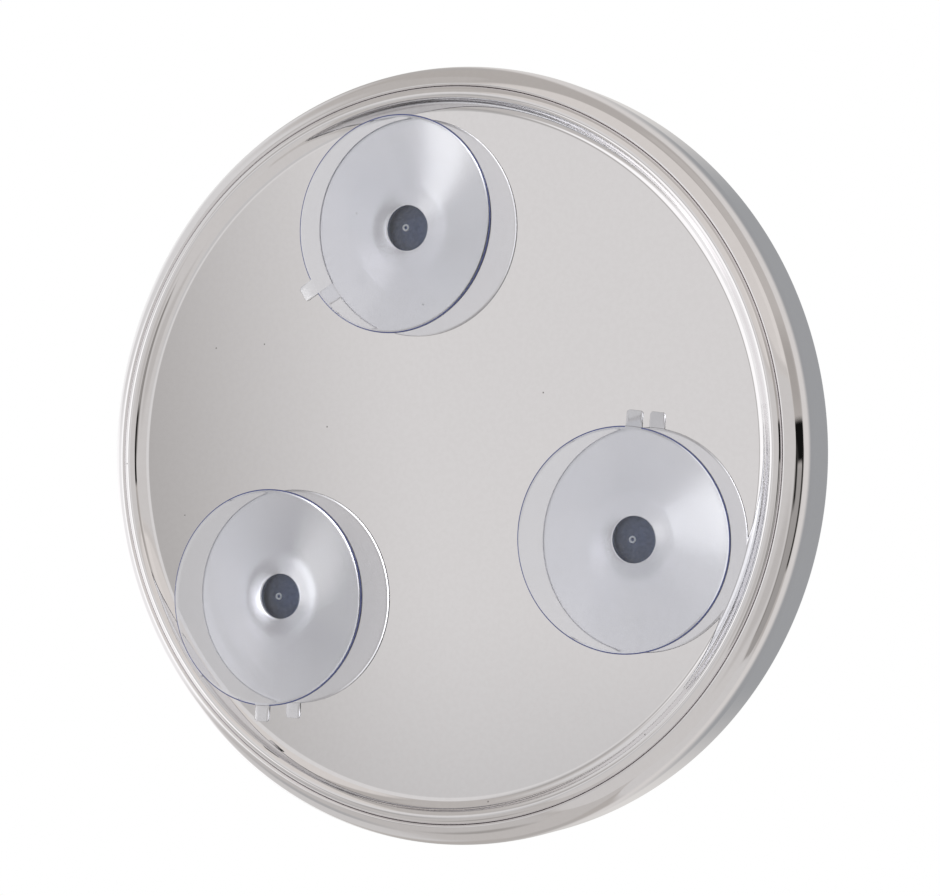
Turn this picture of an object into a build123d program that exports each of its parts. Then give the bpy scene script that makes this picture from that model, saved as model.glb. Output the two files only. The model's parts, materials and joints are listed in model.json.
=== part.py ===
from build123d import *
from math import atan2, cos, degrees, radians, sin, sqrt, tan
import os

# Suction cup mirror: a round magnifying mirror in a polished metal frame, which three clear
# suction cups hold on a smooth wall.
# The mirror looks along -Y, the cups face the wall along +Y and +Z is up.
# The origin is on the mirror's axis, in the plane of the cups' lips, which is the wall's surface.
# Left and right are as seen from behind, where the cups are. Lengths are in millimetres.

# Whole mirror
outer_diameter = 213.0
frame_depth = 18.0          # from the cover plate's rear face to the front edge
lip_standoff = 8.3          # from the cover plate's rear face to the cups' lips

# Gaps between pieces
seat_gap = 0.1              # flat or bent faces that rest on each other
fit_gap = 0.05              # rings pushed into each other, and stems that turn in their holes
overrun = 2.0               # how far the hole cutters reach past the sheet

# Frame ring: outer wall, round shoulder, rear band and rolled front edge, one pressing
ring_sheet = 0.7
band_edge_height = 1.75     # rear band's inner edge, at the groove beside the cover
band_bend = 5.45
band_inner_slope = 5.0      # degrees down from the rear plane
band_outer_slope = 45.0     # where the band runs into the wider bend of the shoulder
shoulder_bend = 8.67
wall_slope = 91.5           # over 90, so the wall draws in towards the front
front_bend = 1.2

# Back cover: flat plate with a raised rim, whose flange lies under the frame ring
cover_sheet = 0.7
crest_height = 2.7
crest_bend = 2.1
crest_slope = 80.0          # where the crest has turned down to the groove beside the ring
rim_slope = 44.0            # inner side of the raised rim
foot_bend = 4.0             # hollow between the plate and the rim
flange_end_slope = 38.0     # place along the frame ring's band where the flange ends

# Front bezel, pushed into the frame ring's front
bezel_sheet = 0.7
bezel_width = 7.85
bezel_fall = 1.0            # the face slopes in towards the glass
bezel_outer_bend = 1.0
bezel_inner_bend = 1.0
bezel_skirt = 5.0
bezel_lip = 1.3

# Gasket round the glass
gasket_front = 0.8
gasket_wall = 0.7
gasket_skirt = 2.2
gasket_overlap = 5.4        # how far it reaches in over the glass
gasket_corner = 0.5         # cut off where the bezel bends

# Mirror glass, dished for magnification, with its silvering and its foam backing
glass_thickness = 3.0
silvering_thickness = 0.15
pad_thickness = 2.0
pad_to_heads = 0.4          # between the foam's middle and the plane of the cups' heads

# Spacer ring that presses the glass forward and carries the cover's flange
spacer_wall = 1.5
spacer_flange = 1.2
spacer_top_width = 3.8
spacer_foot_reach = 1.6     # how far the foot stands out from the hoop
spacer_to_wall = 0.4        # between the foot and the frame ring

# Suction cups: disc, neck, head and pull tab moulded in one
lip_diameter = 60.0
lip_land = 0.8              # flat sealing edge of the lip
lip_edge = 0.8
lip_to_rim = 0.3            # between the lip and the foot of the raised rim, seen from behind
floor_height = 1.6
dome_sag = 0.87             # how far the hollow is rounder than a cone
shoulder_radius = 9.0       # where the cup's back leaves the cover plate
back_sag = 0.6
neck_radius = 6.3
head_radius = 8.6
head_thickness = 2.2
head_round = 0.8
nib_radius = 0.75
nib_height = 0.25
tab_length = 4.3
tab_width = 4.6
tab_thickness = 0.7
tab_setback = 0.3           # from the lips' plane, so that the tab doesn't hold the lip off a wall
tab_corner = 0.9
tab_root = 0.9              # how far the tab starts inside the lip's edge

# Washers between the cover's inner face and the cups' heads
washer_thickness = 0.8
washer_margin = 0.9

# Clock angles in degrees, anticlockwise from the right as seen from behind
cup_angles = {"top": 90.0, "left": 210.0, "right": 330.0}
tab_angles = {"top": 204.8, "left": 259.7, "right": 74.9}

outer_radius = outer_diameter / 2
lip_radius = lip_diameter / 2


def at(radius, height):
    """Point of a section: distance from an axis along Y, and height over the cover plate."""
    return (radius, height - lip_standoff)


def on_bend(centre, bend, slope):
    """Point where a round bend has the given slope, in degrees down from the rear plane."""
    return (centre[0] + bend * sin(radians(slope)), centre[1] + bend * cos(radians(slope)))


def bend_arc(centre, bend, first, last):
    """Arc of a bend between two slopes. A hollow bend has a negative radius."""
    middle = (first + last) / 2
    points = [on_bend(centre, bend, slope) for slope in (first, middle, last)]
    return ThreePointArc(*[at(*point) for point in points])


def straight(first, last):
    """Straight piece of a section between two radius and height pairs."""
    return Line(at(*first), at(*last))


def spin(section):
    """Turn a section round the Y axis to a solid."""
    return revolve(make_face(section), axis=Axis.Y)


def sheet_ring(line, thickness):
    """Pressed sheet: thicken a section's rear line forwards and turn it round the Y axis."""
    outline = offset(Wire(line), amount=thickness, side=Side.RIGHT)
    return spin(outline.edges())


def polygon_ring(*points):
    """Turn a section with straight sides, given as radius and height pairs, round the Y axis."""
    return spin(Polyline(*[at(*point) for point in points], close=True).edges())


# Frame ring's rear line, worked out from the outer wall inwards
band_width = band_bend * (sin(radians(band_outer_slope)) - sin(radians(band_inner_slope)))
shoulder_width = shoulder_bend * (1 - sin(radians(band_outer_slope)))
ring_edge = (outer_radius - shoulder_width - band_width, band_edge_height)
band_centre = on_bend(ring_edge, -band_bend, band_inner_slope)
band_end = on_bend(band_centre, band_bend, band_outer_slope)
shoulder_centre = on_bend(band_end, -shoulder_bend, band_outer_slope)
wall_start = on_bend(shoulder_centre, shoulder_bend, wall_slope)
front_centre_height = front_bend - frame_depth
wall_end_height = front_centre_height + front_bend * cos(radians(wall_slope))
wall_draft = (wall_start[1] - wall_end_height) * tan(radians(wall_slope - 90))
wall_end = (wall_start[0] - wall_draft, wall_end_height)
front_centre = on_bend(wall_end, -front_bend, wall_slope)
front_opening_radius = front_centre[0]

# Back cover's rear line, from the groove beside the frame ring inwards
ring_inner_corner = on_bend(ring_edge, -ring_sheet, band_inner_slope)
groove_radius = ring_inner_corner[0] - fit_gap
crest_radius = groove_radius - crest_bend * sin(radians(crest_slope))
crest_centre = (crest_radius, crest_height - crest_bend)
rim_top = on_bend(crest_centre, crest_bend, -rim_slope)
foot_end_height = foot_bend * (1 - cos(radians(rim_slope)))
rim_run = (rim_top[1] - foot_end_height) / tan(radians(rim_slope))
foot_end = (rim_top[0] - rim_run, foot_end_height)
plate_radius = foot_end[0] - foot_bend * sin(radians(rim_slope))
foot_centre = (plate_radius, foot_bend)
flange_start = on_bend(crest_centre, crest_bend, crest_slope)
flange_end = on_bend(band_centre, band_bend - ring_sheet - seat_gap, flange_end_slope)
flange_slope = degrees(atan2(flange_start[1] - flange_end[1], flange_end[0] - flange_start[0]))

# Places of the cups, and the heights of their heads inside the mirror
cup_pitch_radius = plate_radius - lip_radius - lip_to_rim
hole_radius = neck_radius + fit_gap
head_top = -(cover_sheet + seat_gap + washer_thickness + seat_gap)
head_bottom = head_top - head_thickness


def cup_centre(angle):
    """Place of a cup's stem, in X and Z."""
    return (-cup_pitch_radius * cos(radians(angle)), cup_pitch_radius * sin(radians(angle)))


def move_to_cup(solid, angle):
    """Move a solid from the mirror's axis to a cup's stem."""
    x, z = cup_centre(angle)
    return Pos(x, 0, z) * solid


# Front bezel's front line
skirt_radius = front_opening_radius - fit_gap
bezel_opening_radius = skirt_radius - bezel_width
bezel_slope = bezel_fall / bezel_width


def bezel_inner_height(radius):
    """Height of the bezel face's inner side."""
    face = (skirt_radius - radius) * bezel_slope - frame_depth
    return face + bezel_sheet * sqrt(1 + bezel_slope**2)


# Glass and what lies behind it are parts of spheres round one centre in front of the mirror
gasket_outer_radius = skirt_radius - bezel_sheet - fit_gap
glass_radius = gasket_outer_radius - gasket_wall - fit_gap
glass_edge_height = bezel_inner_height(glass_radius) + seat_gap + gasket_front + seat_gap
pad_front = glass_thickness + silvering_thickness + seat_gap
pad_back = pad_front + pad_thickness
glass_dish = head_bottom - pad_to_heads - pad_back - glass_edge_height
dish_radius = (glass_radius**2 + glass_dish**2) / (2 * glass_dish)
dish_centre_height = glass_edge_height + glass_dish - dish_radius


def dish_height(layer, radius):
    """Height of the surface that lies a given distance behind the glass's front."""
    return dish_centre_height + sqrt((dish_radius + layer) ** 2 - radius**2)


def dish_arc(layer):
    """Section of a dished surface, from the mirror's axis to the glass's edge."""
    radii = (0, glass_radius / 2, glass_radius)
    return ThreePointArc(*[at(radius, dish_height(layer, radius)) for radius in radii])


def dish_layer(front, back):
    """Dished disc between two surfaces that lie behind the glass's front."""
    edge = straight(
        (glass_radius, dish_height(front, glass_radius)),
        (glass_radius, dish_height(back, glass_radius)),
    )
    middle = straight((0, dish_height(front, 0)), (0, dish_height(back, 0)))
    return spin([dish_arc(front), edge, dish_arc(back), middle])


def frame_ring():
    """Outer wall with its round shoulder, its rear band and its rolled front edge."""
    line = [
        bend_arc(band_centre, band_bend, band_inner_slope, band_outer_slope),
        bend_arc(shoulder_centre, shoulder_bend, band_outer_slope, wall_slope),
        straight(wall_start, wall_end),
        bend_arc(front_centre, front_bend, wall_slope, 180),
    ]
    return sheet_ring(line, ring_sheet)


def back_cover():
    """Polished plate with its raised rim, its flange and the three stem holes."""
    line = [
        straight((0, 0), (plate_radius, 0)),
        bend_arc(foot_centre, -foot_bend, 0, -rim_slope),
        straight(foot_end, rim_top),
        bend_arc(crest_centre, crest_bend, -rim_slope, crest_slope),
        straight(flange_start, flange_end),
    ]
    cover = sheet_ring(line, cover_sheet)
    drill = polygon_ring(
        (0, overrun),
        (hole_radius, overrun),
        (hole_radius, -cover_sheet - overrun),
        (0, -cover_sheet - overrun),
    )
    for angle in cup_angles.values():
        cover -= move_to_cup(drill, angle)
    return cover


def front_bezel():
    """Chromed front ring with a skirt outside and a turned lip round the glass."""
    points = [
        (skirt_radius, bezel_skirt - frame_depth),
        (skirt_radius, -frame_depth),
        (bezel_opening_radius, bezel_fall - frame_depth),
        (bezel_opening_radius, bezel_fall + bezel_lip - frame_depth),
    ]
    line = FilletPolyline(*[at(*point) for point in points], radius=[bezel_outer_bend, bezel_inner_bend])
    return sheet_ring(line.edges(), bezel_sheet)


def glass_gasket():
    """Soft ring that lies between the bezel and the glass and stands round the glass's edge."""
    inner_radius = glass_radius - gasket_overlap
    wall_inner_radius = glass_radius + fit_gap
    skirt_height = dish_height(0, glass_radius) + gasket_skirt
    front_radius = gasket_outer_radius - gasket_corner
    front_height = bezel_inner_height(front_radius) + seat_gap
    return polygon_ring(
        (inner_radius, bezel_inner_height(inner_radius) + seat_gap),
        (front_radius, front_height),
        (gasket_outer_radius, front_height + gasket_corner),
        (gasket_outer_radius, skirt_height),
        (wall_inner_radius, skirt_height),
        (wall_inner_radius, dish_height(0, glass_radius) - seat_gap),
        (inner_radius, dish_height(0, inner_radius) - seat_gap),
    )


def spacer_ring():
    """Hoop with a flange under the cover and a foot on the foam."""
    foot_radius = wall_end[0] - ring_sheet - spacer_to_wall
    hoop_outer_radius = foot_radius - spacer_foot_reach
    hoop_inner_radius = hoop_outer_radius - spacer_wall
    top_inner_radius = hoop_outer_radius - spacer_top_width
    flange_underside = on_bend(flange_end, -cover_sheet, flange_slope)
    top = flange_underside[1] - seat_gap
    bottom = dish_height(pad_back, hoop_inner_radius) + seat_gap
    return polygon_ring(
        (top_inner_radius, top),
        (hoop_outer_radius, top),
        (hoop_outer_radius, bottom + spacer_flange),
        (foot_radius, bottom + spacer_flange),
        (foot_radius, bottom),
        (hoop_inner_radius, bottom),
        (hoop_inner_radius, top - spacer_flange),
        (top_inner_radius, top - spacer_flange),
    )


def sagging_arc(first, last, sag):
    """Arc between two points of a section that bulges forwards by sag at its middle."""
    run = last[0] - first[0]
    rise = last[1] - first[1]
    length = sqrt(run**2 + rise**2)
    middle = (
        (first[0] + last[0]) / 2 + sag * rise / length,
        (first[1] + last[1]) / 2 - sag * run / length,
    )
    return ThreePointArc(at(*first), at(*middle), at(*last))


def cup_section():
    """Half of a cup's section, from the head inside the mirror to the lip at the wall."""
    head_edge = (head_radius, head_bottom + head_round)
    head_face = (head_radius - head_round, head_bottom)
    back_start = (shoulder_radius, seat_gap)
    back_end = (lip_radius, lip_standoff - lip_edge)
    lip_outside = (lip_radius, lip_standoff)
    lip_inside = (lip_radius - lip_land, lip_standoff)
    floor_edge = (neck_radius, floor_height)
    nib_top = floor_height + nib_height
    return [
        straight((0, head_bottom), head_face),
        sagging_arc(head_face, head_edge, head_round * (1 - sqrt(0.5))),
        straight(head_edge, (head_radius, head_top)),
        straight((head_radius, head_top), (neck_radius, head_top)),
        straight((neck_radius, head_top), (neck_radius, seat_gap)),
        straight((neck_radius, seat_gap), back_start),
        sagging_arc(back_start, back_end, back_sag),
        straight(back_end, lip_outside),
        straight(lip_outside, lip_inside),
        sagging_arc(floor_edge, lip_inside, dome_sag),
        straight(floor_edge, (nib_radius, floor_height)),
        straight((nib_radius, floor_height), (nib_radius, nib_top)),
        straight((nib_radius, nib_top), (0, nib_top)),
        straight((0, nib_top), (0, head_bottom)),
    ]


def pull_tab():
    """Flap that lifts the lip off the wall, pointing along +X from the cup's stem."""
    reach = tab_length + tab_root
    plan = RectangleRounded(reach + tab_corner, tab_width, tab_corner)
    plan &= Pos(tab_corner / 2, 0) * Rectangle(reach, tab_width)
    flap = extrude(plan, amount=tab_thickness)
    middle = lip_radius - tab_root + (reach - tab_corner) / 2
    return Pos(middle, -tab_setback, 0) * Rot(90, 0, 0) * flap


def suction_cup(name):
    """One moulded cup at its place, its tab turned to its clock angle."""
    turn = Rot(0, tab_angles[name] - 180, 0)
    tab = turn * pull_tab()
    cup = spin(cup_section()) + tab
    return move_to_cup(cup, cup_angles[name])


def head_washer(name):
    """Washer that spreads a cup head's pull over the thin cover."""
    top = -(cover_sheet + seat_gap)
    outer = head_radius + washer_margin
    washer = polygon_ring(
        (hole_radius, top),
        (outer, top),
        (outer, top - washer_thickness),
        (hole_radius, top - washer_thickness),
    )
    return move_to_cup(washer, cup_angles[name])


def pieces():
    """Every separate piece under its name."""
    parts = {
        "frame_ring": frame_ring(),
        "back_cover": back_cover(),
        "front_bezel": front_bezel(),
        "glass_gasket": glass_gasket(),
        "mirror_glass": dish_layer(0, glass_thickness),
        "mirror_silvering": dish_layer(glass_thickness, glass_thickness + silvering_thickness),
        "backing_pad": dish_layer(pad_front, pad_back),
        "spacer_ring": spacer_ring(),
    }
    for name in cup_angles:
        parts[f"suction_cup_{name}"] = suction_cup(name)
        parts[f"head_washer_{name}"] = head_washer(name)
    return parts


os.makedirs("parts", exist_ok=True)
for node, shape in pieces().items():
    export_step(shape, f"parts/{node}.step")
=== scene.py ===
import json
import math

import bmesh
import bpy
from mathutils import Matrix, Vector
from mathutils.geometry import delaunay_2d_cdt


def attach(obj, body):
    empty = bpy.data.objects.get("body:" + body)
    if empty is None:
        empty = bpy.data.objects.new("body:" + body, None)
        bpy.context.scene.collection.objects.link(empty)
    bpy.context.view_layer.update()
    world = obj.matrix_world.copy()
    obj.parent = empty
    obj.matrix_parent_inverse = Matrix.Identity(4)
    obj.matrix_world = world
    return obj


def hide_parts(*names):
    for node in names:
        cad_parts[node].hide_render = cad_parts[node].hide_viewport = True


# Looks of the suction cup mirror. Sections are in millimetres: distance from the mirror's axis
# or a cup's stem, and height over the cover plate's rear face. Slopes and angles are in degrees.

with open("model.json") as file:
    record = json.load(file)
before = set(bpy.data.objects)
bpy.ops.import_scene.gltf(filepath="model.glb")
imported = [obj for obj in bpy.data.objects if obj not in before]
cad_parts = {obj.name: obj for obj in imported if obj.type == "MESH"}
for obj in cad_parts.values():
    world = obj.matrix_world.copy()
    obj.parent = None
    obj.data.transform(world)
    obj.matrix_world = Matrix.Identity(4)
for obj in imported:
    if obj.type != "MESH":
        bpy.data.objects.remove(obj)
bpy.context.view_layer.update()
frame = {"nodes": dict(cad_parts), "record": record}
MM = 0.001

# Sizes shared with the solids
OUTER_RADIUS = 106.5
FRAME_DEPTH = 18.0
LIP_STANDOFF = 8.3
FIT_GAP = 0.05
SEAT_GAP = 0.1

RING_SHEET = 0.7
BAND_EDGE_HEIGHT = 1.75
BAND_BEND = 5.45
BAND_INNER_SLOPE = 5.0
BAND_OUTER_SLOPE = 45.0
SHOULDER_BEND = 8.67
WALL_SLOPE = 91.5
FRONT_BEND = 1.2
GROOVE_ROUND = 0.6
SHEET_ROUND = 0.1

COVER_SHEET = 0.7
CREST_HEIGHT = 2.7
CREST_BEND = 2.1
CREST_SLOPE = 80.0
RIM_TOP_SLOPE = 52.5
RIM_FOOT_SLOPE = 41.0
RIM_STEPS = 24
FOOT_BEND = 4.0
FLANGE_END_SLOPE = 38.0

BEZEL_SHEET = 0.7
BEZEL_WIDTH = 7.85
BEZEL_FALL = 1.0
BEZEL_BEND = 1.0
BEZEL_SKIRT = 5.0
BEZEL_LIP = 1.3

GASKET_FRONT = 0.8
GASKET_WALL = 0.7
GASKET_SKIRT = 2.2
GASKET_OVERLAP = 5.4
GASKET_CORNER = 0.5
GASKET_ROUND = 0.2
GASKET_TIP_ROUND = 0.12

GLASS_THICKNESS = 3.0
GLASS_EDGE = 0.5
SILVERING_THICKNESS = 0.15
COAT_GAP = 0.02
PAD_THICKNESS = 2.0
PAD_TO_HEADS = 0.4
PAD_ROUND = 0.9

LIP_RADIUS = 30.0
LIP_LAND = 0.8
LIP_EDGE = 0.8
# The next width is how far the dark blue edge reaches over the lip's top: painted shade in place of
# the light the clear edge carries
LIP_PAINTED_EDGE = 0.34
LIP_ROUND = 0.2
LIP_ROUND_STEPS = 4
LIP_WALL_DROPS = (0.52, 0.45, 0.38, 0.30)
FLOOR_HEIGHT = 1.6
FLOOR_ROUND = 0.8
FLOOR_MARK_RADIUS = 2.6
DOME_SAG = 0.4
SHOULDER_RADIUS = 9.0
BACK_SAG = 0.35
HOLLOW_SLOPE = 0.11
NECK_RADIUS = 6.3
NECK_FLAT = 0.5
NECK_ROUND = 0.1
HEAD_RADIUS = 8.6
HEAD_ROUND = 0.8
HEAD_FLAT_RADIUS = 4.0
HEAD_TOP = -1.7
HEAD_BOTTOM = -3.9
TAB_LENGTH = 4.3
TAB_WIDTH = 4.6
TAB_SETBACK = 0.3
TAB_CORNER = 0.9
TAB_ROUND = ((0.12, 0.0), (0.035, 0.035), (0.0, 0.12))
MOULDING_RING = ((1.0, 0.0), (0.92, 0.38), (0.75, 0.46), (0.58, 0.38), (0.45, 0.06), (0.0, 0.02))
TAB_ANGLES = {"top": 204.8, "left": 259.7, "right": 74.9}

# How the free cups lean in the photograph: the lip's rise and the clock angle of its highest
# place, its drop as a whole, and its shift in X and Z
LEANS = {
    "top": (1.55, 302.0, 0.9, 0.73, 0.87),
    "left": (0.7, 261.0, 0.0, 0.21, -0.14),
    "right": (1.4, 143.0, 0.7, 0.42, -0.08),
}
LEAN_POWER = 1.4

# Fineness of the meshes
RING_COLUMNS = 360
CUP_COLUMNS = 208
HOLE_COLUMNS = 96
PAD_COLUMNS = 180
PAD_STEPS = 40
DISH_STEPS = 60
DOME_STEPS = 30
BACK_STEPS = 22
HOLLOW_STEPS = 9
BEND_STEP = 2.5
GUARD = 0.15


def on_bend(centre, bend, slope):
    """Point where a round bend has the given slope down from the rear plane."""
    turn = math.radians(slope)
    return (centre[0] + bend * math.sin(turn), centre[1] + bend * math.cos(turn))


def between(first, last, share):
    return tuple(a + (b - a) * share for a, b in zip(first, last))


def bend_line(centre, bend, first, last):
    """Points along a bend, each with its slope."""
    steps = math.ceil(abs(last - first) / BEND_STEP)
    slopes = [first + (last - first) * index / steps for index in range(steps + 1)]
    return [(*on_bend(centre, bend, slope), slope) for slope in slopes]


def straight_line(first, last):
    """Ends of a straight run, each with a guard point beside it that keeps the shading flat."""
    slope = math.degrees(math.atan2(first[1] - last[1], last[0] - first[0]))
    guard = GUARD / math.dist(first, last)
    return [(*between(first, last, share), slope) for share in (0, guard, 1 - guard, 1)]


def under(point, thickness):
    """Point on a sheet's front, straight below a point of its rear line."""
    return on_bend(point[:2], -thickness, point[2])


def round_corner(before, corner, after, radius, steps=5):
    """Arc that rounds the corner between two straight runs."""
    corner = Vector(corner)
    arms = [(Vector(end) - corner).normalized() for end in (before, after)]
    half = arms[0].angle(arms[1]) / 2
    middle = corner + (arms[0] + arms[1]).normalized() * radius / math.sin(half)
    ends = [corner + arm * radius / math.tan(half) - middle for arm in arms]
    sweep = math.pi - 2 * half
    points = []
    for index in range(steps + 1):
        share = index / steps
        weights = [math.sin((1 - share) * sweep), math.sin(share * sweep)]
        spoke = (ends[0] * weights[0] + ends[1] * weights[1]) / math.sin(sweep)
        points.append(tuple(middle + spoke))
    return points


def round_outline(corners):
    """Closed outline from corners and the radius that rounds each."""
    outline = []
    for index, (corner, radius) in enumerate(corners):
        before = corners[index - 1][0]
        after = corners[(index + 1) % len(corners)][0]
        outline += round_corner(before, corner, after, radius) if radius else [corner]
    return outline


def sagging(first, last, sag, count):
    """Points of a curve that bulges forwards by sag at its middle, without its last point."""
    length = math.dist(first, last)
    run, rise = last[0] - first[0], last[1] - first[1]
    points = []
    for index in range(count):
        share = index / count
        bulge = 4 * sag * share * (1 - share) / length
        place = first[0] + run * share + bulge * rise
        points.append((place, first[1] + rise * share - bulge * run))
    return points


class Shell:
    """Mesh under construction, in millimetres in the mirror's own frame."""

    def __init__(self):
        self.mesh = bmesh.new()

    def grid(self, rows, closed_rows):
        """Quads between columns of points. Columns always close into a ring."""
        columns = [[self.mesh.verts.new(point) for point in column] for column in rows]
        faces = {}
        count = len(columns[0])
        for index, column in enumerate(columns):
            after = columns[(index + 1) % len(columns)]
            for row in range(count if closed_rows else count - 1):
                below = (row + 1) % count
                corners = (column[row], after[row], after[below], column[below])
                faces[index, row] = self.mesh.faces.new(corners)
        return faces

    def piece(self, name, materials, sharp=40.0):
        """Weld the mesh, turn its faces outwards and make it an object in metres."""
        bmesh.ops.remove_doubles(self.mesh, verts=self.mesh.verts, dist=0.0005)
        bmesh.ops.dissolve_degenerate(self.mesh, edges=self.mesh.edges, dist=0.0002)
        bmesh.ops.recalc_face_normals(self.mesh, faces=self.mesh.faces)
        bmesh.ops.scale(self.mesh, vec=(MM, MM, MM), verts=self.mesh.verts)
        for face in self.mesh.faces:
            face.smooth = True
        data = bpy.data.meshes.new(name)
        self.mesh.to_mesh(data)
        self.mesh.free()
        data.set_sharp_from_angle(angle=math.radians(sharp))
        for material in materials:
            data.materials.append(material)
        piece = bpy.data.objects.new(name, data)
        bpy.context.collection.objects.link(piece)
        return piece


def turned(outline, count=RING_COLUMNS):
    """Columns of points of an outline turned round the mirror's axis."""
    columns = []
    for index in range(count):
        turn = 2 * math.pi * index / count
        sine, cosine = math.sin(turn), math.cos(turn)
        columns.append([(r * cosine, h - LIP_STANDOFF, r * sine) for r, h in outline])
    return columns


def turned_piece(name, outline, material, *nodes):
    """Piece turned from a closed outline, in place of the nodes."""
    shell = Shell()
    shell.grid(turned(outline), closed_rows=True)
    piece = shell.piece(name, [material])
    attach(piece, "mirror")
    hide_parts(*nodes)
    return piece


# Lines of the frame ring, worked out from the outer wall inwards
band_width = BAND_BEND * (
    math.sin(math.radians(BAND_OUTER_SLOPE)) - math.sin(math.radians(BAND_INNER_SLOPE))
)
shoulder_width = SHOULDER_BEND * (1 - math.sin(math.radians(BAND_OUTER_SLOPE)))
ring_edge = (OUTER_RADIUS - shoulder_width - band_width, BAND_EDGE_HEIGHT)
band_centre = on_bend(ring_edge, -BAND_BEND, BAND_INNER_SLOPE)
band_end = on_bend(band_centre, BAND_BEND, BAND_OUTER_SLOPE)
shoulder_centre = on_bend(band_end, -SHOULDER_BEND, BAND_OUTER_SLOPE)
wall_start = on_bend(shoulder_centre, SHOULDER_BEND, WALL_SLOPE)
front_centre_height = FRONT_BEND - FRAME_DEPTH
wall_end_height = front_centre_height + FRONT_BEND * math.cos(math.radians(WALL_SLOPE))
wall_draft = (wall_start[1] - wall_end_height) * math.tan(math.radians(WALL_SLOPE - 90))
wall_end = (wall_start[0] - wall_draft, wall_end_height)
front_centre = on_bend(wall_end, -FRONT_BEND, WALL_SLOPE)

# Lines of the back cover
groove_radius = on_bend(ring_edge, -RING_SHEET, BAND_INNER_SLOPE)[0] - FIT_GAP
crest_radius = groove_radius - CREST_BEND * math.sin(math.radians(CREST_SLOPE))
crest_centre = (crest_radius, CREST_HEIGHT - CREST_BEND)
rim_top = on_bend(crest_centre, CREST_BEND, -RIM_TOP_SLOPE)
foot_end_height = FOOT_BEND * (1 - math.cos(math.radians(RIM_FOOT_SLOPE)))
rim_steps = [(index + 0.5) / RIM_STEPS for index in range(RIM_STEPS)]
rim_slopes = [RIM_TOP_SLOPE + (RIM_FOOT_SLOPE - RIM_TOP_SLOPE) * share for share in rim_steps]
rim_rises = [math.sin(math.radians(slope)) for slope in rim_slopes]
rim_step = (rim_top[1] - foot_end_height) / sum(rim_rises)
rim_line = [(*rim_top, -RIM_TOP_SLOPE)]
for slope, rise in zip(rim_slopes, rim_rises):
    run = rim_step * math.cos(math.radians(slope))
    rim_line.append((rim_line[-1][0] - run, rim_line[-1][1] - rim_step * rise, -slope))
rim_line = rim_line[:0:-1]
plate_radius = rim_line[0][0] - FOOT_BEND * math.sin(math.radians(RIM_FOOT_SLOPE))
flange_start = on_bend(crest_centre, CREST_BEND, CREST_SLOPE)
flange_end = on_bend(band_centre, BAND_BEND - RING_SHEET - SEAT_GAP, FLANGE_END_SLOPE)

# Lines of the front
skirt_radius = front_centre[0] - FIT_GAP
bezel_opening_radius = skirt_radius - BEZEL_WIDTH
bezel_slope = BEZEL_FALL / BEZEL_WIDTH
gasket_outer_radius = skirt_radius - BEZEL_SHEET - FIT_GAP
glass_radius = gasket_outer_radius - GASKET_WALL - FIT_GAP


def bezel_inner_height(radius):
    """Height of the bezel face's inner side."""
    face = (skirt_radius - radius) * bezel_slope - FRAME_DEPTH
    return face + BEZEL_SHEET * math.hypot(1, bezel_slope)


glass_edge_height = bezel_inner_height(glass_radius) + SEAT_GAP + GASKET_FRONT + SEAT_GAP
pad_front = GLASS_THICKNESS + SILVERING_THICKNESS + SEAT_GAP
pad_back = pad_front + PAD_THICKNESS
glass_dish = HEAD_BOTTOM - PAD_TO_HEADS - pad_back - glass_edge_height
dish_radius = (glass_radius**2 + glass_dish**2) / (2 * glass_dish)
dish_centre_height = glass_edge_height + glass_dish - dish_radius


def dish_height(layer, radius):
    """Height of the surface that lies a given distance behind the glass's front."""
    return dish_centre_height + math.sqrt((dish_radius + layer) ** 2 - radius**2)


def dish_line(layer, radii):
    return [(radius, dish_height(layer, radius)) for radius in radii]


class Nodes:
    """Short way to write a node tree."""

    def __init__(self, tree):
        self.tree = tree
        tree.nodes.clear()

    def add(self, kind, sockets=None, **settings):
        """Add a node, set its options and fill or link its inputs."""
        node = self.tree.nodes.new(kind)
        for key, value in settings.items():
            setattr(node, key, value)
        for key, value in (sockets or {}).items():
            self.put(node.inputs[key], value)
        return node

    def put(self, socket, value):
        """Link an output to a socket, or set the socket's own value."""
        if isinstance(value, bpy.types.Node):
            value = value.outputs[0]
        if isinstance(value, bpy.types.NodeSocket):
            self.tree.links.new(value, socket)
        else:
            socket.default_value = value

    def math(self, operation, *values):
        """Math node on one to three values."""
        return self.add("ShaderNodeMath", dict(enumerate(values)), operation=operation)

    def step(self, value, low, high, first=0.0, last=1.0):
        """Smooth step of a value from low to high."""
        sockets = {"Value": value, "From Min": low, "From Max": high}
        sockets |= {"To Min": first, "To Max": last}
        return self.add("ShaderNodeMapRange", sockets, interpolation_type="SMOOTHSTEP")

    def blend(self, factor, first, second):
        """Mix two colours. The node's own colour sockets are inputs 6 and 7 and output 2."""
        sockets = {"Factor": factor, 6: first, 7: second}
        return self.add("ShaderNodeMix", sockets, data_type="RGBA").outputs[2]

    def noise(self, place, scale, detail=2.0, roughness=0.5):
        """Noise texture's value."""
        sockets = {"Vector": place, "Scale": scale, "Detail": detail, "Roughness": roughness}
        return self.add("ShaderNodeTexNoise", sockets)

    def place(self):
        """Position on the object, in metres."""
        return self.add("ShaderNodeTexCoord").outputs["Object"]

    def split(self, vector):
        return self.add("ShaderNodeSeparateXYZ", {0: vector}).outputs


def rgb(red, green, blue):
    return (red, green, blue, 1.0)


def new_material(name):
    """Material with an empty Principled shader, and the helper for its node tree."""
    material = bpy.data.materials.new(name)
    material.use_nodes = True
    nodes = Nodes(material.node_tree)
    shader = nodes.add("ShaderNodeBsdfPrincipled")
    output = nodes.add("ShaderNodeOutputMaterial", {"Surface": shader})
    return material, nodes, shader, output


CHROME_LEVEL = 0.87
CHROME = rgb(0.884, 0.866, 0.876)
CHROME_DULL = rgb(0.872, 0.853, 0.862)
SPECK = rgb(0.3, 0.29, 0.29)


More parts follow.
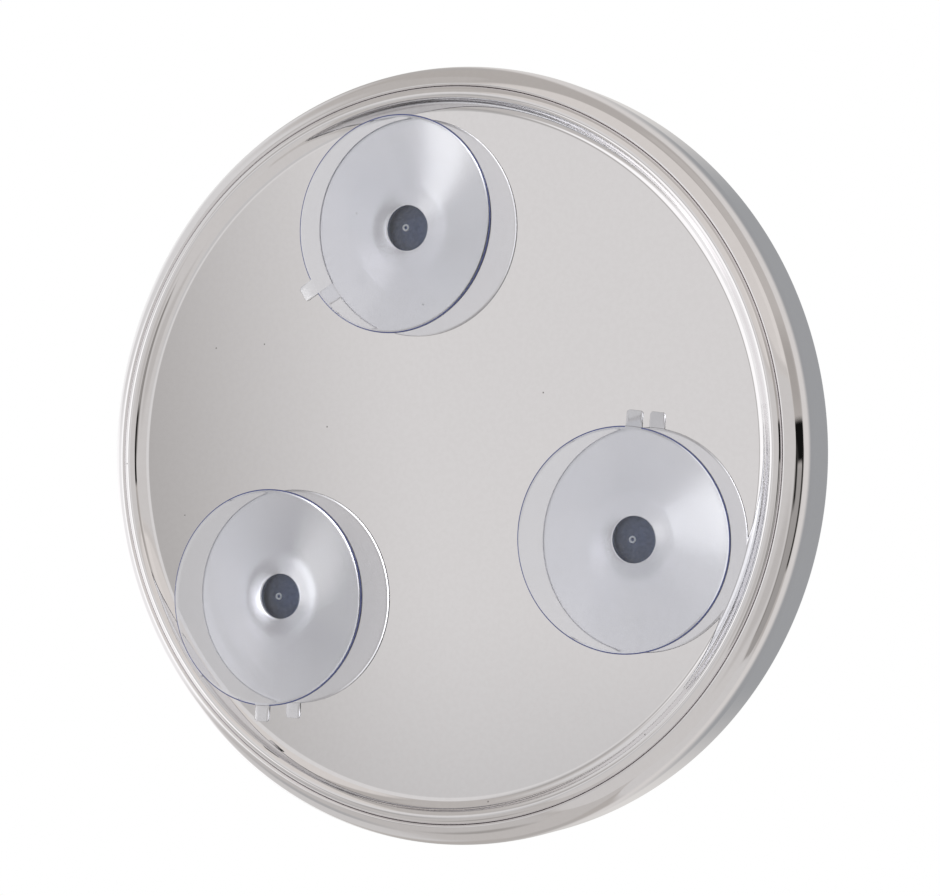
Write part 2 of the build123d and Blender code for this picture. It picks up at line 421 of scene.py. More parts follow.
def chrome(name, bright=CHROME, dull=CHROME_DULL, roughness=0.012, speck_share=0.0, relief=0.02):
    """Polished metal with faint hairlines, and with a few specks where asked."""
    material, nodes, shader, _ = new_material(name)
    place = nodes.place()
    hair = nodes.noise(place, 2600.0, 3.0)
    colour = nodes.blend(nodes.step(nodes.noise(place, 700.0), 0.35, 0.65), bright, dull)
    gloss = nodes.step(hair, 0.3, 0.75, roughness, roughness * 2.5)
    if speck_share:
        x, _, z = nodes.split(place)
        flat = nodes.add("ShaderNodeCombineXYZ", {0: x, 1: z})
        sockets = {"Vector": flat, "Scale": 60.0}
        specks = nodes.add("ShaderNodeTexVoronoi", sockets, voronoi_dimensions="2D")
        spot = nodes.step(specks.outputs["Distance"], 0.008, 0.018, 1.0, 0.0)
        chosen = nodes.split(specks.outputs["Color"])[0]
        spot = nodes.math("MULTIPLY", spot, nodes.math("GREATER_THAN", chosen, 1.0 - speck_share))
        colour = nodes.blend(spot, colour, SPECK)
        gloss = nodes.math("ADD", gloss, nodes.math("MULTIPLY", spot, 0.4))
    bump = nodes.add("ShaderNodeBump", {"Strength": relief, "Distance": 0.00002, "Height": hair})
    nodes.put(shader.inputs["Base Color"], colour)
    nodes.put(shader.inputs["Metallic"], 1.0)
    nodes.put(shader.inputs["Roughness"], gloss)
    nodes.put(shader.inputs["Normal"], bump)
    return material


def matt(name, dark, light, grain, roughness, relief=0.25):
    """Matt material with a fine grain in colour, gloss and relief."""
    material, nodes, shader, _ = new_material(name)
    grains = nodes.noise(nodes.place(), grain, 4.0, 0.6)
    nodes.put(shader.inputs["Base Color"], nodes.blend(nodes.step(grains, 0.3, 0.7), dark, light))
    nodes.put(shader.inputs["Roughness"], nodes.step(grains, 0.3, 0.7, roughness, roughness + 0.12))
    bump = nodes.add("ShaderNodeBump", {"Strength": relief, "Distance": 0.0001, "Height": grains})
    nodes.put(shader.inputs["Normal"], bump)
    return material


def clear_glass():
    material, nodes, shader, _ = new_material("mirror_glass")
    clouds = nodes.noise(nodes.place(), 30.0)
    colour = nodes.blend(clouds, rgb(0.985, 1.0, 0.99), rgb(0.975, 0.995, 0.985))
    nodes.put(shader.inputs["Base Color"], colour)
    nodes.put(shader.inputs["Roughness"], nodes.step(clouds, 0.3, 0.7, 0.0, 0.004))
    nodes.put(shader.inputs["Transmission Weight"], 1.0)
    nodes.put(shader.inputs["IOR"], 1.52)
    return material


PAINTED_FROM = 0.3


def silvering():
    """Silver towards the glass, dark protective paint behind."""
    material, nodes, shader, _ = new_material("silvering")
    normal = nodes.add("ShaderNodeNewGeometry").outputs["True Normal"]
    painted = nodes.math("GREATER_THAN", nodes.split(normal)[1], PAINTED_FROM)
    clouds = nodes.noise(nodes.place(), 400.0, 3.0)
    paint = nodes.blend(clouds, rgb(0.09, 0.10, 0.12), rgb(0.12, 0.13, 0.15))
    silver = nodes.blend(clouds, rgb(0.94, 0.95, 0.945), rgb(0.93, 0.94, 0.935))
    nodes.put(shader.inputs["Base Color"], nodes.blend(painted, silver, paint))
    nodes.put(shader.inputs["Metallic"], nodes.math("SUBTRACT", 1.0, painted))
    nodes.put(shader.inputs["Roughness"], nodes.step(painted, 0.0, 1.0, 0.0, 0.5))
    return material


PVC_DENSITY = 12.0
PVC_TINT = rgb(0.26, 0.38, 0.74)


def clear_pvc(name, bright, dull, transmission, roughness, inner=None):
    """Clear PVC, which light crosses with a blue tint that grows with the way inside, a little
    milky where the transmission is under 1. The inner colour, where given, is painted light: back
    faces take it in place of the light that would show through the cup's own wall."""
    material, nodes, shader, output = new_material(name)
    place = nodes.place()
    flow = nodes.noise(place, 55.0)
    fine = nodes.noise(place, 1500.0)
    colour = nodes.blend(flow, bright, dull)
    if inner:
        # Back faces take the inner colour: painted light seen through the cup's wall
        from_inside = nodes.add("ShaderNodeNewGeometry").outputs["Backfacing"]
        colour = nodes.blend(from_inside, colour, inner)
    nodes.put(shader.inputs["Base Color"], colour)
    nodes.put(shader.inputs["Roughness"], nodes.step(fine, 0.3, 0.7, roughness, roughness + 0.04))
    nodes.put(shader.inputs["Transmission Weight"], transmission)
    nodes.put(shader.inputs["IOR"], 1.53)
    nodes.put(shader.inputs["Specular IOR Level"], 1.0)
    bump = nodes.add("ShaderNodeBump", {"Strength": 0.05, "Distance": 0.0006, "Height": flow})
    nodes.put(shader.inputs["Normal"], bump)
    tint = nodes.add("ShaderNodeVolumeAbsorption", {"Color": PVC_TINT, "Density": PVC_DENSITY})
    nodes.put(output.inputs["Volume"], tint)
    return material


FRAME_CHROME = chrome("frame_chrome")
COVER_CHROME = chrome("cover_chrome", speck_share=0.12, relief=0.006)
BEZEL_CHROME = chrome("bezel_chrome")
RUBBER = matt("gasket_rubber", rgb(0.012, 0.012, 0.014), rgb(0.022, 0.022, 0.024), 1800.0, 0.55)
FOAM = matt("grey_foam", rgb(0.085, 0.135, 0.29), rgb(0.15, 0.22, 0.43), 1100.0, 0.8, relief=0.8)
PVC = clear_pvc("clear_pvc", rgb(0.945, 0.963, 1.0), rgb(0.962, 0.975, 1.0), 0.98, 0.06)
# The lip's edge is nearly opaque dark blue. That is painted shade in place of the light that runs
# through the clear edge, though the blue tint is the PVC's own. Its back faces take a pale colour,
# painted light in place of what shows through the wall
PVC_PAINTED_EDGE = clear_pvc(
    "clear_pvc_painted_edge", rgb(0.035, 0.052, 0.19), rgb(0.055, 0.072, 0.21), 0.15, 0.1,
    inner=rgb(0.75, 0.78, 0.88),
)
PVC_GATE = clear_pvc("clear_pvc_gate", rgb(0.45, 0.50, 0.60), rgb(0.80, 0.84, 0.92), 0.5, 0.3)
GLASS = clear_glass()
SILVERING = silvering()
PLASTIC = matt("black_plastic", rgb(0.01, 0.01, 0.012), rgb(0.016, 0.016, 0.018), 1500.0, 0.4)
STEEL = chrome("washer_steel", rgb(0.55, 0.55, 0.56), rgb(0.47, 0.47, 0.48), 0.2)
KEPT = {"spacer_ring": PLASTIC, "head_washer": STEEL}


def dress_kept_nodes():
    """Give the nodes that stay their materials."""
    for node, piece in frame["nodes"].items():
        for name, material in KEPT.items():
            if node.startswith(name):
                piece.data.materials.clear()
                piece.data.materials.append(material)


def frame_ring():
    """Polished ring: its edge at the groove is rolled a little, so the groove reflects."""
    rear_start = BAND_INNER_SLOPE + math.degrees(GROOVE_ROUND / BAND_BEND)
    rear = bend_line(band_centre, BAND_BEND, rear_start, BAND_OUTER_SLOPE)
    rear += bend_line(shoulder_centre, SHOULDER_BEND, BAND_OUTER_SLOPE, WALL_SLOPE)[1:]
    rear += straight_line(wall_start, wall_end)[1:-1]
    rear += bend_line(front_centre, FRONT_BEND, WALL_SLOPE, 180.0)
    front = [under(point, RING_SHEET) for point in reversed(rear)]
    inner_corner = on_bend(ring_edge, -RING_SHEET, BAND_INNER_SLOPE)
    edge = round_corner(front[-1], inner_corner, ring_edge, SHEET_ROUND)
    edge += round_corner(inner_corner, ring_edge, rear[0][:2], GROOVE_ROUND, 8)[:-1]
    outline = [point[:2] for point in rear] + front + edge
    piece = turned_piece("frame_ring_polished", outline, FRAME_CHROME, "frame_ring")


def disc_with_holes(shell, outer_radius, stems, hole_radius, height):
    """Flat face of the cover plate, its holes left open."""
    loops = [circle((0, 0), outer_radius, RING_COLUMNS)]
    loops += [circle(stem, hole_radius, HOLE_COLUMNS) for stem in stems]
    points, edges = [], []
    for loop in loops:
        first = len(points)
        points += [Vector(point) for point in loop]
        edges += [(first + index, first + (index + 1) % len(loop)) for index in range(len(loop))]
    flat = delaunay_2d_cdt(points, edges, [], 1, 0.0001)
    corners = [shell.mesh.verts.new((x, height - LIP_STANDOFF, z)) for x, z in flat[0]]
    for triangle in flat[2]:
        middle = sum((flat[0][index] for index in triangle), Vector((0, 0))) / 3
        if all((middle - stem).length > hole_radius for stem in stems):
            shell.mesh.faces.new([corners[index] for index in triangle])


def circle(centre, radius, count):
    points = []
    for index in range(count):
        turn = 2 * math.pi * index / count
        points.append((centre[0] + radius * math.cos(turn), centre[1] + radius * math.sin(turn)))
    return points


def back_cover():
    """Polished plate with its raised rim, its flange and the three stem holes."""
    disc_radius = plate_radius - GUARD
    rear = [(disc_radius, 0.0, 0.0)]
    rear += bend_line((plate_radius, FOOT_BEND), -FOOT_BEND, 0.0, -RIM_FOOT_SLOPE)[:-1]
    rear += rim_line
    rear += bend_line(crest_centre, CREST_BEND, -RIM_TOP_SLOPE, CREST_SLOPE)
    rear += straight_line(flange_start, flange_end)[1:]
    front = [under(point, COVER_SHEET) for point in reversed(rear)]
    outline = [point[:2] for point in rear] + front
    shell = Shell()
    shell.grid(turned(outline), closed_rows=False)
    hole_radius = NECK_RADIUS + FIT_GAP
    stems = [Vector(cup_stem(name)) for name in TAB_ANGLES]
    for height in (0.0, -COVER_SHEET):
        disc_with_holes(shell, disc_radius, stems, hole_radius, height)
    for stem in stems:
        heights = (-LIP_STANDOFF, -LIP_STANDOFF - COVER_SHEET)
        hole = circle(stem, hole_radius, HOLE_COLUMNS)
        shell.grid([[(x, height, z) for height in heights] for x, z in hole], closed_rows=False)
    piece = shell.piece("back_cover_polished", [COVER_CHROME], sharp=30.0)
    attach(piece, "mirror")
    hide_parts("back_cover")


def front_bezel():
    """Chromed front ring with its skirt and its turned lip."""
    lip_height = BEZEL_FALL + BEZEL_LIP - FRAME_DEPTH
    skirt_height = BEZEL_SKIRT - FRAME_DEPTH
    lip_back = bezel_opening_radius + BEZEL_SHEET
    skirt_inside = skirt_radius - BEZEL_SHEET
    inner_bend = BEZEL_BEND - BEZEL_SHEET
    outline = round_outline([
        ((skirt_radius, skirt_height), SHEET_ROUND),
        ((skirt_radius, -FRAME_DEPTH), BEZEL_BEND),
        ((bezel_opening_radius, BEZEL_FALL - FRAME_DEPTH), BEZEL_BEND),
        ((bezel_opening_radius, lip_height), SHEET_ROUND),
        ((lip_back, lip_height), SHEET_ROUND),
        ((lip_back, bezel_inner_height(lip_back)), inner_bend),
        ((skirt_inside, bezel_inner_height(skirt_inside)), inner_bend),
        ((skirt_inside, skirt_height), SHEET_ROUND),
    ])
    piece = turned_piece("front_bezel_polished", outline, BEZEL_CHROME, "front_bezel")


def glass_gasket():
    """Soft ring round the glass, with rounded corners."""
    inner_radius = glass_radius - GASKET_OVERLAP
    wall_inner_radius = glass_radius + FIT_GAP
    skirt_height = dish_height(0, glass_radius) + GASKET_SKIRT
    front_radius = gasket_outer_radius - GASKET_CORNER
    front_height = bezel_inner_height(front_radius) + SEAT_GAP
    outline = round_outline([
        ((inner_radius, bezel_inner_height(inner_radius) + SEAT_GAP), GASKET_TIP_ROUND),
        ((front_radius, front_height), GASKET_ROUND),
        ((gasket_outer_radius, front_height + GASKET_CORNER), GASKET_ROUND),
        ((gasket_outer_radius, skirt_height), GASKET_ROUND),
        ((wall_inner_radius, skirt_height), GASKET_ROUND),
        ((wall_inner_radius, dish_height(0, glass_radius) - SEAT_GAP), 0.0),
        ((inner_radius, dish_height(0, inner_radius) - SEAT_GAP), GASKET_TIP_ROUND),
    ])
    piece = turned_piece("glass_gasket_soft", outline, RUBBER, "glass_gasket")


def dished_sheet(name, layers, edge_round, material):
    """Sheet of the dish between two layers, counted from the glass's front, in one smooth turn."""
    radii = [glass_radius * index / DISH_STEPS for index in range(DISH_STEPS)]
    front, back = (dish_line(layer, radii) for layer in layers)
    front_corner, back_corner = (dish_line(layer, [glass_radius])[0] for layer in layers)
    edge = round_corner(front[-1], front_corner, back_corner, edge_round)
    edge += round_corner(front_corner, back_corner, back[-1], edge_round)
    shell = Shell()
    shell.grid(turned(front + edge + back[::-1]), closed_rows=False)
    piece = shell.piece(name, [material])
    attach(piece, "mirror")
    return piece


def glass_and_silvering():
    """Dished glass and the coat on its back, which lies a hair behind it."""
    glass = dished_sheet("mirror_glass_dished", (0, GLASS_THICKNESS), GLASS_EDGE, GLASS)
    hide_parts("mirror_glass")
    coat_layers = (GLASS_THICKNESS + COAT_GAP, GLASS_THICKNESS + SILVERING_THICKNESS)
    coat = dished_sheet("mirror_silvering_dished", coat_layers, COAT_GAP, SILVERING)
    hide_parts("mirror_silvering")


def backing_pad():
    """Foam sheet, dished like the glass, its edge squashed round."""
    radii = [glass_radius * index / PAD_STEPS for index in range(PAD_STEPS + 1)]
    *back, back_corner = dish_line(pad_back, radii)
    *front, front_corner = dish_line(pad_front, radii)
    outline = back + round_corner(back[-1], back_corner, front_corner, PAD_ROUND)
    outline += round_corner(back_corner, front_corner, front[-1], PAD_ROUND) + front[::-1]
    shell = Shell()
    shell.grid(turned(outline, PAD_COLUMNS), closed_rows=False)
    piece = shell.piece("backing_pad_foam", [FOAM])
    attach(piece, "mirror")
    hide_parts("backing_pad")


def cup_stem(name):
    """Place of a cup's stem in X and Z, in millimetres, from its joint."""
    for joint in frame["record"]["behaviour"]["joints"]:
        if joint["name"] == f"cup_{name}_spin":
            return (joint["pos_m"][0] / MM, joint["pos_m"][2] / MM)


def cup_back():
    """Cup's back from the neck to the lip: it leaves the plate in a smooth hollow."""
    lip_end = (LIP_RADIUS, LIP_STANDOFF - LIP_EDGE)
    arc = sagging((SHOULDER_RADIUS, SEAT_GAP), lip_end, BACK_SAG, BACK_STEPS)
    start = (NECK_RADIUS + NECK_FLAT, SEAT_GAP)
    joined = 4
    target, beyond = arc[joined], arc[joined + 1]
    run = target[0] - start[0]
    rise = target[1] - start[1]
    end_slope = (beyond[1] - target[1]) / (beyond[0] - target[0])
    curve = []
    for index in range(HOLLOW_STEPS):
        share = index / HOLLOW_STEPS
        height = rise * share**2 * (3 - 2 * share) + run * end_slope * share**2 * (share - 1)
        height += run * HOLLOW_SLOPE * share * (1 - share) ** 2
        curve.append((start[0] + run * share, SEAT_GAP + height))
    return curve + arc[joined:]


def cup_section():
    """Section from the head's middle round the lip to the moulding ring, and the row where the
    lip's outer wall starts."""
    lip = LIP_STANDOFF
    lip_under = (LIP_RADIUS, lip - LIP_EDGE)
    lip_out = (LIP_RADIUS, lip)
    lip_in = (LIP_RADIUS - LIP_LAND, lip)
    head_edge = (HEAD_RADIUS, HEAD_BOTTOM)
    head_corner = (HEAD_RADIUS, HEAD_TOP)
    neck_low = (NECK_RADIUS, HEAD_TOP)
    neck_high = (NECK_RADIUS, SEAT_GAP)
    back = cup_back()
    dome = sagging((NECK_RADIUS, FLOOR_HEIGHT), lip_in, DOME_SAG, DOME_STEPS)
    points = [(0.0, HEAD_BOTTOM), (HEAD_FLAT_RADIUS, HEAD_BOTTOM)]
    points += round_corner(points[-1], head_edge, head_corner, HEAD_ROUND)
    points += round_corner(head_edge, head_corner, neck_low, LIP_ROUND, 3)
    points += round_corner(head_corner, neck_low, neck_high, LIP_ROUND, 3)
    points += round_corner(neck_low, neck_high, back[0], NECK_ROUND, 3)
    points += back
    points += round_corner(back[-1], lip_under, lip_out, LIP_ROUND, LIP_ROUND_STEPS)
    first_wall_row = len(points)
    points += [(LIP_RADIUS, lip - drop) for drop in LIP_WALL_DROPS]
    points += round_corner(lip_under, lip_out, lip_in, LIP_ROUND, LIP_ROUND_STEPS)
    # The painted dark edge, painted shade, ends here on the lip's top
    points.append((LIP_RADIUS - LIP_PAINTED_EDGE, lip))
    points += round_corner(lip_out, lip_in, dome[-1], LIP_ROUND, LIP_ROUND_STEPS)
    points += dome[:1:-1]
    floor_mark = (FLOOR_MARK_RADIUS, FLOOR_HEIGHT)
    points += round_corner(dome[1], dome[0], floor_mark, FLOOR_ROUND, 4) + [floor_mark]
    points += [(radius, FLOOR_HEIGHT + rise) for radius, rise in MOULDING_RING]
    return points, first_wall_row


def tab_reach(angle):
    """Distance from the stem to the tab's outline, at an angle in radians from its middle."""
    end = LIP_RADIUS + TAB_LENGTH
    half = TAB_WIDTH / 2
    sine, cosine = abs(math.sin(angle)), math.cos(angle)
    reach = min(end / cosine, half / sine if sine else end)
    corner = (end - TAB_CORNER, half - TAB_CORNER)
    if reach * cosine > corner[0] and reach * sine > corner[1]:
        along = corner[0] * cosine + corner[1] * sine
        inside = along**2 - corner[0] ** 2 - corner[1] ** 2 + TAB_CORNER**2
        reach = along + math.sqrt(max(inside, 0))
    return max(reach, LIP_RADIUS)


def cup_columns():
    """Angles of the mesh's columns from the tab's middle, closest round the tab's outline."""
    half = TAB_WIDTH / 2
    root = math.asin(half / LIP_RADIUS)
    corner_start = math.atan2(half, LIP_RADIUS + TAB_LENGTH - TAB_CORNER)
    corner_end = math.atan2(half - TAB_CORNER, LIP_RADIUS + TAB_LENGTH)
    stretches = [(root, corner_start, 6), (corner_start, corner_end, 10), (corner_end, 0.0, 4)]
    side = [first + (last - first) * index / count
            for first, last, count in stretches for index in range(count)]
    gap = (2 * math.pi - 2 * root) / CUP_COLUMNS
    rest = [root + gap * index for index in range(1, CUP_COLUMNS)]
    return [-angle for angle in side] + [0.0] + side[::-1] + rest


def tab_rows(reach):
    """Places of the eight rows that run over the tab, from its underside to its top."""
    top = LIP_STANDOFF - TAB_SETBACK
    under_side = LIP_STANDOFF - LIP_EDGE
    rows = [(LIP_RADIUS, under_side)]
    for inset, rise in TAB_ROUND:
        rows.append((max(reach - inset, LIP_RADIUS), under_side + rise))
    for inset, rise in TAB_ROUND[::-1]:
        rows.append((max(reach - inset, LIP_RADIUS), top - rise))
    return rows + [(LIP_RADIUS, top)]


# Material slots: the lip's painted dark edge, which is painted shade, and the moulding gate
PAINTED_EDGE_SLOT, GATE_SLOT = 1, 2


def suction_cup(name):
    """Finely curved cup with its tab, leaning as it does when nothing presses on it."""
    section, first_wall_row = cup_section()
    rise, lean_angle, drop, shift_x, shift_z = LEANS[name]
    lean, tab = math.radians(lean_angle), math.radians(TAB_ANGLES[name])
    stem_x, stem_z = cup_stem(name)
    angles = cup_columns()
    first_tab_row = first_wall_row - LIP_ROUND_STEPS
    columns = []
    on_tab = []
    for angle in angles:
        wrapped = math.remainder(angle, 2 * math.pi)
        points = list(section)
        in_tab = abs(wrapped) <= math.asin(TAB_WIDTH / 2 / LIP_RADIUS) + 1e-6
        if in_tab:
            rows = tab_rows(tab_reach(wrapped))
            points[first_tab_row:first_tab_row + len(rows)] = rows
        on_tab.append(in_tab)
        clock = angle + tab
        column = []
        for radius, height in points:
            free = max(0.0, (radius - SHOULDER_RADIUS) / (LIP_RADIUS - SHOULDER_RADIUS))
            height += (rise * math.cos(clock - lean) - drop) * free**LEAN_POWER
            x = stem_x - radius * math.cos(clock) + shift_x * free
            z = stem_z + radius * math.sin(clock) + shift_z * free
            column.append((x, height - LIP_STANDOFF, z))
        columns.append(column)
    shell = Shell()
    faces = shell.grid(columns, closed_rows=False)
    # The lip's edge rows, except those over the tab, take the painted dark edge: painted shade
    first_edge_row = first_wall_row + len(LIP_WALL_DROPS)
    painted_edge_rows = range(first_edge_row, first_edge_row + LIP_ROUND_STEPS + 1)
    first_gate_row = len(section) - len(MOULDING_RING)
    for (column, row), face in faces.items():
        if first_gate_row <= row < len(section) - 2:
            face.material_index = GATE_SLOT
        beside = on_tab[column] and on_tab[(column + 1) % len(angles)]
        if row in painted_edge_rows and not beside:
            face.material_index = PAINTED_EDGE_SLOT
    piece = shell.piece(f"cup_{name}_soft", [PVC, PVC_PAINTED_EDGE, PVC_GATE])
    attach(piece, f"cup_{name}")
    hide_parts(f"suction_cup_{name}")
    return piece


# Camera, fitted to the photograph's circles
CAMERA_PLACE_MM = (-387.6, 753.6, -77.8)
CAMERA_RIGHT = (-0.88275, -0.45122, -0.13100)
CAMERA_UP = (-0.15809, 0.02268, 0.98717)
LENS_MM = 120.61
SENSOR_MM = 36.0


def add_camera():
    data = bpy.data.cameras.new("camera")
    data.sensor_width = SENSOR_MM
    data.lens = LENS_MM
    data.clip_start = 0.05
    camera = bpy.data.objects.new("camera", data)
    bpy.context.collection.objects.link(camera)
    right = Vector(CAMERA_RIGHT).normalized()
    back = right.cross(Vector(CAMERA_UP)).normalized()
    turn = Matrix((right, back.cross(right), back)).transposed().to_4x4()
    camera.matrix_world = Matrix.Translation(Vector(CAMERA_PLACE_MM) * MM) @ turn
    bpy.context.scene.camera = camera


# Studio round the mirror, as panels by direction. Bearing 0 is +Y and 90 is +X; height is over
# the horizon. Each has its two bearings, its two heights, the roundness of its corners, its
# softness, the grey it shows in the chrome from 0 to 255, and how much bluer than red that is.
PANELS = [
    ("low_right", (-190, -8), (-92, -50), 8, 5, 197, -3),
    ("low_left", (-14, 150), (-92, -50), 8, 6, 181, -6),
    ("wall", (-64, 23), (-22, 68), 40, 3, 203, -8),
    ("wall_far", (-66, -44), (-10, 30), 8, 4, 209, -8),
    ("floor", (-64, 23), (-76, 8.5), 6, 1.5, 195, -4),
    ("rug", (-50, -12), (-36, -12), 10, 6, 181, -5),
    ("skirting", (-60, 16), (8, 10.5), 1, 1, 191, -7),
    ("left_wall", (24, 112), (10, 66), 12, 3, 176, -7),
    ("left_glow", (44, 140), (12, 46), 12, 9, 208, -1),
    ("left_floor", (24, 112), (-54, -14), 12, 3, 181, -5),
    ("left_floor_light", (82, 132), (-50, -14), 8, 6, 194, -3),
    ("smudge_low", (38, 62), (-60, -46), 7, 6, 152, -6),
    ("smudge_high", (64, 84), (-42, -24), 8, 6, 166, 0),
    ("plate_view", (8, 36), (-16, 24), 6, 2, 209, -2),
    ("plate_low", (8, 36), (-16, 0), 3, 3, 190, -1),
    ("gap", (30.8, 37), (-18, 26), 2, 4, 156, -4),
    ("lamp_near", (37, 68), (-14, 18), 6, 4, 253, 0),
    ("lamp_mid", (66, 92), (-15, 14), 5, 5, 233, 0),
    ("lamp_far", (90, 152), (-18, 14), 5, 3, 254, 0),
    ("lamp_far_top", (96, 142), (10, 26), 6, 8, 236, 0),
    ("column", (143, 159), (-58, 60), 6, 4, 168, -6),
    ("streak", (160, 170), (13, 40), 3, 3, 242, -2),
    ("rear_halo", (-206, -98), (-66, 67), 42, 5, 205, -5),
    ("rear", (-190, -127), (-50, 47), 30, 11, 153, 4),
    ("front_glow", (167, 193), (-13, 13), 13, 4, 236, 0),
    ("olive_wall", (-99, -66), (1, 68), 5, 2.5, 177, -8),
    ("olive_low", (-97, -66), (0, 18), 5, 7, 157, -8),
]
# Accents that the metal alone mirrors
METAL_PANELS = [
    ("door_top", (-97, -65), (-9.5, -0.5), 1, 1, 18, -1),
    ("door_near", (-74, -60), (-46, -8), 4, 4, 130, -6),
    ("door_panel", (-92, -67), (-52, -10), 6, 1, 150, -5),
    ("door_near_line", (-73, -65), (-18, -6), 2, 2.5, 20, -3),
    ("door_far_line", (-98, -91), (-32, -6), 1, 1.5, 25, -3),
]
# Pale background to the sides that shows through the clear cups alone
CLEAR_PANELS = [
    ("clear_left", (72, 145), (-60, 60), 20, 10, 240, 0),
    ("clear_right", (-145, -72), (-60, 60), 20, 10, 240, 0),
]
# Glow that shows where metal mirrors metal, as the plate does in the cover's inner slope
TWICE_PANELS = [
    ("twice_glow", (56, 102), (-35, -5), 6, 4, 270, 0),
]
BASE_GREY = (169, -8)


def shown_in_chrome(level, coolness):
    """Colour of a panel that shows as the given grey in the chrome."""
    levels = (level - coolness / 2, level, level + coolness / 2)
    linear = [((value / 255 + 0.055) / 1.055) ** 2.4 / CHROME_LEVEL for value in levels]
    return (*linear, 1.0)


def panel_mask():
    """Node group: 1 inside a rounded rectangle of bearings and heights, 0 outside."""
    group = bpy.data.node_groups.new("panel_mask", "ShaderNodeTree")
    names = ["bearing", "height", "bearing_middle", "height_middle",
             "bearing_half", "height_half", "corner", "soft"]
    for name in names:
        group.interface.new_socket(name, in_out="INPUT", socket_type="NodeSocketFloat")
    group.interface.new_socket("mask", in_out="OUTPUT", socket_type="NodeSocketFloat")
    nodes = Nodes(group)
    inputs = nodes.add("NodeGroupInput").outputs
    squares = []
    for axis in ("bearing", "height"):
        away = nodes.math("SUBTRACT", inputs[axis], inputs[f"{axis}_middle"])
        if axis == "bearing":
            away = nodes.math("WRAP", away, 180.0, -180.0)
        away = nodes.math("ABSOLUTE", away)
        straight = nodes.math("SUBTRACT", inputs[f"{axis}_half"], inputs["corner"])
        over = nodes.math("MAXIMUM", nodes.math("SUBTRACT", away, straight), 0.0)
        squares.append(nodes.math("POWER", over, 2.0))
    distance = nodes.math("SQRT", nodes.math("ADD", *squares))
    outside = nodes.math("SUBTRACT", distance, inputs["corner"])
    soft = inputs["soft"]
    mask = nodes.step(outside, nodes.math("MULTIPLY", soft, -1.0), soft, 1.0, 0.0)
    nodes.add("NodeGroupOutput", {"mask": mask})
    return group


def add_world():
    """Studio light by direction, and plain white straight behind the object."""
    world = bpy.data.worlds.new("studio")
    bpy.context.scene.world = world
    world.use_nodes = True
    nodes = Nodes(world.node_tree)
    x, y, z = nodes.split(nodes.add("ShaderNodeTexCoord").outputs["Generated"])
    bearing = nodes.math("DEGREES", nodes.math("ARCTAN2", x, y))
    height = nodes.math("DEGREES", nodes.math("ARCSINE", z))
    group = panel_mask()
    light = shown_in_chrome(*BASE_GREY)
    ray = nodes.add("ShaderNodeLightPath").outputs
    clear = ray["Is Transmission Ray"]
    metal = nodes.math("SUBTRACT", 1.0, clear)
    twice = nodes.math("GREATER_THAN", ray["Glossy Depth"], 1.5)
    panels = [(*panel, None) for panel in PANELS]
    panels += [(*panel, metal) for panel in METAL_PANELS]
    panels += [(*panel, clear) for panel in CLEAR_PANELS]
    panels += [(*panel, twice) for panel in TWICE_PANELS]
    for name, sides, ends, corner, soft, level, coolness, seen_by in panels:
        mask = nodes.add("ShaderNodeGroup", node_tree=group, label=name)
        values = {
            "bearing": bearing,
            "height": height,
            "bearing_middle": sum(sides) / 2,
            "height_middle": sum(ends) / 2,
            "bearing_half": (sides[1] - sides[0]) / 2,
            "height_half": (ends[1] - ends[0]) / 2,
            "corner": corner,
            "soft": soft,
        }
        for key, value in values.items():
            nodes.put(mask.inputs[key], value)
        share = nodes.math("MULTIPLY", mask, seen_by) if seen_by else mask
        light = nodes.blend(share, light, shown_in_chrome(level, coolness))
    light = nodes.blend(ray["Is Camera Ray"], light, rgb(1.0, 1.0, 1.0))
    background = nodes.add("ShaderNodeBackground", {"Color": light, "Strength": 1.0})
    nodes.add("ShaderNodeOutputWorld", {"Surface": background})


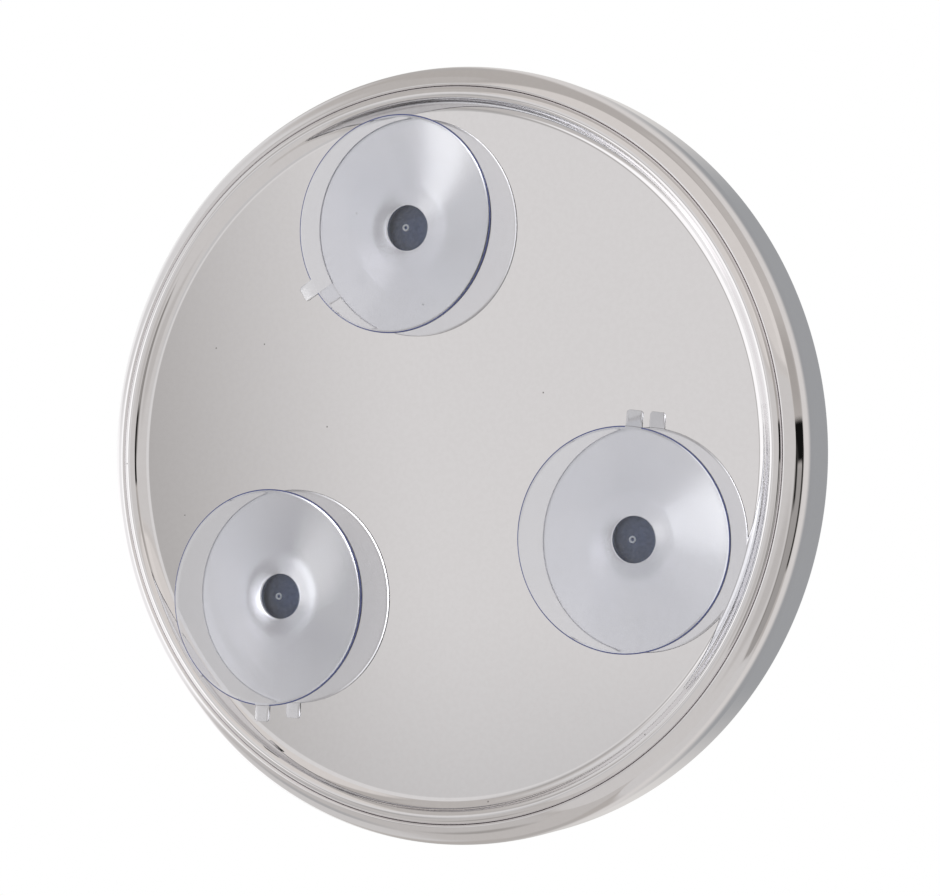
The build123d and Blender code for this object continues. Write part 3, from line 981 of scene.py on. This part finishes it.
def add_lamp(name, place, size, energy, only=None):
    """Soft lamp. With a list of pieces it lights those alone and fades towards its edges; without
    one, no glossy surface mirrors it."""
    data = bpy.data.lights.new(name, "AREA")
    data.shape = "RECTANGLE"
    data.size, data.size_y = size
    data.energy = energy
    lamp = bpy.data.objects.new(name, data)
    lamp.location = place
    lamp.rotation_euler = Vector(place).to_track_quat("Z", "Y").to_euler()
    bpy.context.collection.objects.link(lamp)
    if only:
        lit = bpy.data.collections.new(name)
        for piece in only:
            lit.objects.link(piece)
        lamp.light_linking.receiver_collection = lit
        data.use_nodes = True
        nodes = Nodes(data.node_tree)
        u, v, _ = nodes.split(nodes.add("ShaderNodeNewGeometry").outputs["Parametric"])
        sides = [nodes.math("MULTIPLY_ADD", part, 2.0, -1.0) for part in (u, v)]
        squares = [nodes.math("POWER", side, 2.0) for side in sides]
        away = nodes.math("SQRT", nodes.math("ADD", *squares))
        strength = nodes.step(away, 0.35, 1.0, 1.0, 0.0)
        emission = nodes.add("ShaderNodeEmission", {"Strength": strength})
        nodes.add("ShaderNodeOutputLight", {"Surface": emission})
    else:
        lamp.visible_glossy = False
        lamp.visible_transmission = False


def add_floor():
    """Pale floor under the hanging mirror, out of the camera's view."""
    half, below = 1.5, -0.26
    material, nodes, shader, _ = new_material("floor")
    clouds = nodes.noise(nodes.place(), 3.0, 3.0)
    colour = nodes.blend(clouds, rgb(0.80, 0.80, 0.80), rgb(0.84, 0.84, 0.84))
    nodes.put(shader.inputs["Base Color"], colour)
    nodes.put(shader.inputs["Roughness"], 0.8)
    data = bpy.data.meshes.new("floor")
    sides = ((-half, -half), (half, -half), (half, half), (-half, half))
    corners = [(x, y, below) for x, y in sides]
    data.from_pydata(corners, [], [(0, 1, 2, 3)])
    data.materials.append(material)
    floor = bpy.data.objects.new("floor", data)
    floor.visible_glossy = False
    floor.visible_transmission = False
    bpy.context.collection.objects.link(floor)


dress_kept_nodes()
frame_ring()
back_cover()
front_bezel()
glass_gasket()
glass_and_silvering()
backing_pad()
cups = [suction_cup(name) for name in TAB_ANGLES]

add_camera()
add_world()
add_lamp("key_lamp", (-0.6, 1.5, 1.4), (1.5, 1.5), 20.0)
add_lamp("fill_lamp", (0.6, -1.5, 1.2), (1.5, 1.5), 20.0)
add_lamp("window", (0.81, 0.58, -0.05), (0.52, 0.60), 3.1, only=cups)
add_floor()

bpy.context.scene.view_settings.view_transform = "Standard"
